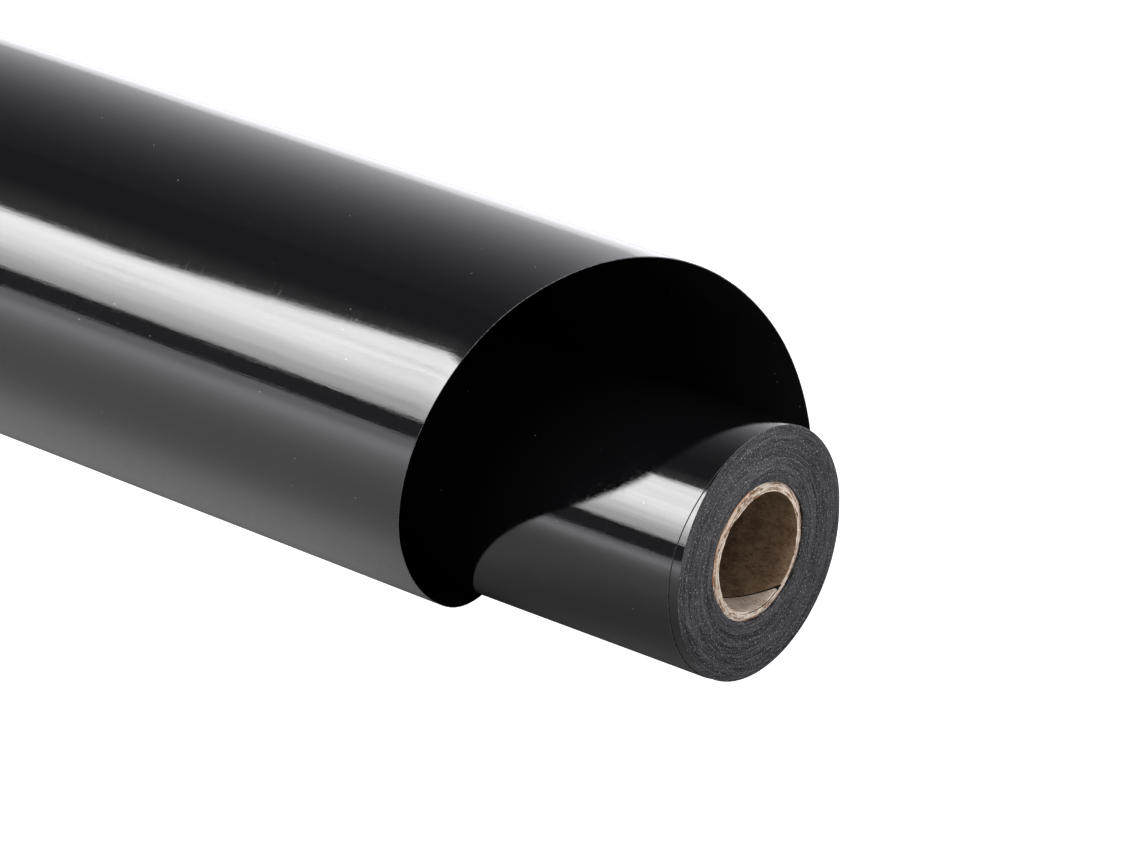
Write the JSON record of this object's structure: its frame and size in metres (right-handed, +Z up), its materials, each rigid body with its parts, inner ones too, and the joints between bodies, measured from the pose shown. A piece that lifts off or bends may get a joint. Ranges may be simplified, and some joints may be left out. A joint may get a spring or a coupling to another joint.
{
  "type": "roll of sign vinyl",
  "caption": "Narrow roll of glossy black vinyl film on a paper core, with its outer lap sprung loose into a larger skewed loop around it.",
  "frame": {"origin": "under the middle of the whole object, on the surface that it lies on", "axes": "+X along the roll's axis, towards the end that sticks out of the loose lap; +Z up; the web winds anticlockwise seen from +X"},
  "size_m": [0.4164, 0.1616, 0.1297],
  "materials": {
    "carrier_film": "clear glossy film over black, mirror-like",
    "vinyl_film": "dead matte black",
    "wound_edge": "satin charcoal, fine rings of cut film edges",
    "core_inside": "brown kraft board",
    "core_paper": "light kraft board with fibrous cut ends",
    "tape": "brown kraft paper tape"
  },
  "bodies": {
    "loose_lap": {"lap_carrier_film": "carrier_film", "lap_vinyl_film": "vinyl_film"},
    "outer_wrap": {"wrap_carrier_film": "carrier_film", "wrap_vinyl_film": "vinyl_film"},
    "wound_roll": {"tight_turns": "wound_edge", "starter_tape": "tape", "core_ply_1": "core_inside", "core_ply_2": "core_paper", "core_ply_3": "core_paper", "core_ply_4": "core_paper", "core_ply_5": "core_paper"}
  },
  "joints": [
    {"name": "roll_turn", "type": "hinge", "parent": "loose_lap", "child": "outer_wrap", "pos_m": [0.05571, 0.00067, 0.04162], "axis": [1, 0, 0], "continuous": true},
    {"name": "telescope", "type": "slide", "parent": "outer_wrap", "child": "wound_roll", "axis": [1, 0, 0], "range_m": [-0.01, 0.015]}
  ]
}
